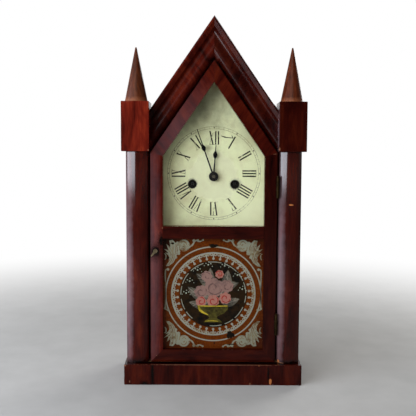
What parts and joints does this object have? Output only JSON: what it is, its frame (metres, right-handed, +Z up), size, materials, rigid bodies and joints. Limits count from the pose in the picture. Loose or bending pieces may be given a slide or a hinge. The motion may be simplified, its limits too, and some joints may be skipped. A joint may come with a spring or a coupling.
{
  "type": "steeple shelf clock",
  "caption": "Gothic steeple shelf clock: pointed veneered case between round-fronted columns with cone finials, glazed door over a painted dial, spring movement, pendulum and gong.",
  "frame": {"origin": "middle of the clock's footprint, at the level of the shelf", "axes": "+X to the right as seen from the front, +Y towards the back, +Z up; the dial faces -Y"},
  "size_m": [0.252, 0.106, 0.508],
  "materials": {
    "mahogany_veneer": "old glossy varnish over figured mahogany veneer",
    "stained_wood": "turned and stained, satin",
    "pine": "bare softwood",
    "brass": "aged, dull",
    "steel": "plain",
    "cast_iron": "rough",
    "blackened_steel": "black, satin",
    "clear_glass": "polished",
    "painted_glass": "painted on the back",
    "painted_zinc": "aged cream paint, matt"
  },
  "bodies": {
    "case": {"plinth_front": "mahogany_veneer", "plinth_side_left": "mahogany_veneer", "plinth_side_right": "mahogany_veneer", "case_side_left": "mahogany_veneer", "case_side_right": "mahogany_veneer", "front_stile_left": "mahogany_veneer", "front_stile_right": "mahogany_veneer", "gable_rails": "mahogany_veneer", "gable_moulding_left": "mahogany_veneer", "gable_moulding_right": "mahogany_veneer", "roof_board_left": "mahogany_veneer", "roof_board_right": "mahogany_veneer", "column_left": "mahogany_veneer", "column_right": "mahogany_veneer", "column_block_left": "mahogany_veneer", "column_block_right": "mahogany_veneer", "finial_left": "stained_wood", "finial_right": "stained_wood", "bottom_board": "pine", "back_board": "pine", "dial_battens": "pine", "movement_blocks": "pine", "case_hinge_leaves": "brass", "latch_keeper": "brass", "front_plate": "brass", "back_plate": "brass", "wood_screws": "brass", "suspension_cock": "brass", "mainsprings": "steel", "gong_coil": "steel", "gong_base": "cast_iron", "dial_plate": "painted_zinc"},
    "door": {"door_stile_left": "mahogany_veneer", "door_stile_right": "mahogany_veneer", "door_rake_left": "mahogany_veneer", "door_rake_right": "mahogany_veneer", "door_mid_rail": "mahogany_veneer", "door_bottom_rail": "mahogany_veneer", "dial_glass": "clear_glass", "tablet_glass": "painted_glass", "glazing_strips": "pine", "door_hinge_leaves": "brass"},
    "latch": {"latch_turn": "brass"},
    "minute": {"minute_hand": "blackened_steel", "hand_collet": "brass", "minute_arbor": "steel"},
    "hour": {"hour_hand": "blackened_steel", "hour_wheel": "brass"},
    "minute_wheel_body": {"minute_wheel": "brass"},
    "time_winder": {"time_winding_arbor": "steel"},
    "strike_winder": {"strike_winding_arbor": "steel"},
    "time_great": {"time_great_wheel": "brass"},
    "strike_great": {"strike_great_wheel": "brass"},
    "centre": {"centre_wheel": "brass"},
    "third": {"third_wheel": "brass"},
    "escape": {"escape_wheel": "brass"},
    "verge_body": {"verge": "steel"},
    "pendulum": {"pendulum_rod": "steel", "pendulum_bob": "brass"},
    "hammer_body": {"hammer": "steel"}
  },
  "joints": [
    {"name": "door_hinge", "type": "hinge", "parent": "case", "child": "door", "pos_m": [0.0883, -0.043, 0.18], "axis": [0, 0, 1], "range_deg": [0, 95]},
    {"name": "latch_turn_joint", "type": "hinge", "parent": "door", "child": "latch", "pos_m": [-0.0803, -0.035, 0.1868], "axis": [0, 1, 0], "range_deg": [0, 90]},
    {"name": "minute_hand_turn", "type": "hinge", "parent": "case", "child": "minute", "pos_m": [0, 0.007, 0.2897], "axis": [0, 1, 0], "continuous": true},
    {"name": "hour_hand_turn", "type": "hinge", "parent": "case", "child": "hour", "pos_m": [0, -0.008, 0.2897], "axis": [0, 1, 0], "continuous": true},
    {"name": "minute_wheel_turn", "type": "hinge", "parent": "case", "child": "minute_wheel_body", "pos_m": [0.00707, 0.003, 0.28263], "axis": [0, 1, 0], "continuous": true},
    {"name": "third_wheel_turn", "type": "hinge", "parent": "case", "child": "third", "pos_m": [-0.00318, 0.007, 0.30924], "axis": [0, 1, 0], "continuous": true},
    {"name": "centre_wheel_turn", "type": "hinge", "parent": "case", "child": "centre", "pos_m": [0, 0.017, 0.2897], "axis": [0, 1, 0], "continuous": true},
    {"name": "time_great_wheel_turn", "type": "hinge", "parent": "case", "child": "time_great", "pos_m": [0.03, 0.007, 0.2786], "axis": [0, 1, 0], "continuous": true},
    {"name": "escape_wheel_turn", "type": "hinge", "parent": "case", "child": "escape", "pos_m": [0.009, 0.007, 0.318], "axis": [0, 1, 0], "continuous": true},
    {"name": "strike_great_wheel_turn", "type": "hinge", "parent": "case", "child": "strike_great", "pos_m": [-0.03, 0.007, 0.2786], "axis": [0, 1, 0], "continuous": true},
    {"name": "time_winding", "type": "hinge", "parent": "case", "child": "time_winder", "pos_m": [0.03, 0.007, 0.2786], "axis": [0, 1, 0], "continuous": true},
    {"name": "strike_winding", "type": "hinge", "parent": "case", "child": "strike_winder", "pos_m": [-0.03, 0.007, 0.2786], "axis": [0, 1, 0], "continuous": true},
    {"name": "pendulum_swing", "type": "hinge", "parent": "case", "child": "pendulum", "pos_m": [0.009, -0.009, 0.34], "axis": [0, 1, 0], "range_deg": [-4, 4]},
    {"name": "verge_rock", "type": "hinge", "parent": "case", "child": "verge_body", "pos_m": [0.009, 0.013, 0.34], "axis": [0, 1, 0], "range_deg": [-4, 4]},
    {"name": "hammer_lift", "type": "hinge", "parent": "case", "child": "hammer_body", "pos_m": [-0.016, 0.017, 0.243], "axis": [0, 1, 0], "range_deg": [0, 14]}
  ],
  "couplings": [
    {"joint": "hour_hand_turn", "follows": "minute_hand_turn", "ratio": 0.083333},
    {"joint": "minute_wheel_turn", "follows": "minute_hand_turn", "ratio": -0.33333},
    {"joint": "centre_wheel_turn", "follows": "third_wheel_turn", "ratio": -0.1},
    {"joint": "time_great_wheel_turn", "follows": "third_wheel_turn", "ratio": 0.0097222},
    {"joint": "escape_wheel_turn", "follows": "third_wheel_turn", "ratio": -9},
    {"joint": "verge_rock", "follows": "pendulum_swing", "ratio": 1}
  ]
}
